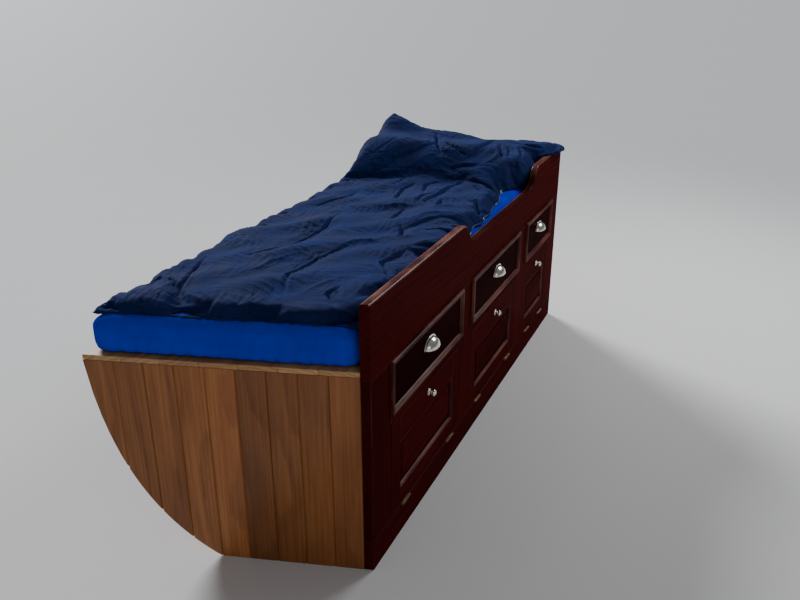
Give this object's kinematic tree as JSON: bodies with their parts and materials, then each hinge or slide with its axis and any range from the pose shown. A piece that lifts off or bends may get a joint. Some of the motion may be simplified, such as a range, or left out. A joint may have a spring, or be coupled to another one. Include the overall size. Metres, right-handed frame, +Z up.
{
  "type": "fitted boat berth",
  "caption": "Built-in single berth of a wooden ketch's fore cabin: scooped leeboard, sliding drawers over falling locker flaps, mattress and duvet.",
  "frame": {"origin": "middle of the berth's bounding box, on the cabin sole", "axes": "+X forward along the berth's front, +Y outboard from the front to the hull, +Z up"},
  "size_m": [2.1264, 0.7592, 0.9412],
  "materials": {
    "mahogany": "varnished",
    "pine": "oiled",
    "brass": "polished, worn",
    "sheet": "cotton jersey",
    "duvet_cover": "brushed cotton"
  },
  "bodies": {
    "carcase": {"leeboard": "mahogany", "plinth_rail": "mahogany", "stile_aft": "mahogany", "stile_aft_middle": "mahogany", "stile_middle_fore": "mahogany", "stile_fore": "mahogany", "rail_aft": "mahogany", "rail_middle": "mahogany", "rail_fore": "mahogany", "front_bearer": "pine", "hull_bearer": "pine", "back_rail": "pine", "back_sill": "pine", "floor_board": "pine", "end_panel_aft": "pine", "end_panel_fore": "pine", "partition_aft": "pine", "partition_fore": "pine", "runner_aft_aft": "pine", "runner_aft_fore": "pine", "runner_middle_aft": "pine", "runner_middle_fore": "pine", "runner_fore_aft": "pine", "runner_fore_fore": "pine", "berth_board_aft": "pine", "berth_board_middle": "pine", "berth_board_fore": "pine", "hinge_aft_aft": "brass", "hinge_aft_fore": "brass", "hinge_middle_aft": "brass", "hinge_middle_fore": "brass", "hinge_fore_aft": "brass", "hinge_fore_fore": "brass", "mattress": "sheet", "duvet": "duvet_cover"},
    "drawer_aft": {"drawer_front_aft": "mahogany", "drawer_box_aft": "pine", "cup_pull_aft": "brass"},
    "flap_aft": {"flap_frame_aft": "mahogany", "flap_panel_aft": "mahogany", "flap_knob_aft": "brass"},
    "drawer_middle": {"drawer_front_middle": "mahogany", "drawer_box_middle": "pine", "cup_pull_middle": "brass"},
    "flap_middle": {"flap_frame_middle": "mahogany", "flap_panel_middle": "mahogany", "flap_knob_middle": "brass"},
    "drawer_fore": {"drawer_front_fore": "mahogany", "drawer_box_fore": "pine", "cup_pull_fore": "brass"},
    "flap_fore": {"flap_frame_fore": "mahogany", "flap_panel_fore": "mahogany", "flap_knob_fore": "brass"}
  },
  "joints": [
    {"name": "drawer_aft_slide", "type": "slide", "parent": "carcase", "child": "drawer_aft", "axis": [0, -1, 0], "range_m": [0, 0.26]},
    {"name": "drawer_middle_slide", "type": "slide", "parent": "carcase", "child": "drawer_middle", "axis": [0, -1, 0], "range_m": [0, 0.26]},
    {"name": "drawer_fore_slide", "type": "slide", "parent": "carcase", "child": "drawer_fore", "axis": [0, -1, 0], "range_m": [0, 0.26]},
    {"name": "flap_aft_hinge", "type": "hinge", "parent": "carcase", "child": "flap_aft", "pos_m": [-0.46384, -0.35475, 0.0965], "axis": [1, 0, 0], "range_deg": [0, 90]},
    {"name": "flap_middle_hinge", "type": "hinge", "parent": "carcase", "child": "flap_middle", "pos_m": [0.18116, -0.35475, 0.0965], "axis": [1, 0, 0], "range_deg": [0, 90]},
    {"name": "flap_fore_hinge", "type": "hinge", "parent": "carcase", "child": "flap_fore", "pos_m": [0.74966, -0.35475, 0.0965], "axis": [1, 0, 0], "range_deg": [0, 90]}
  ]
}
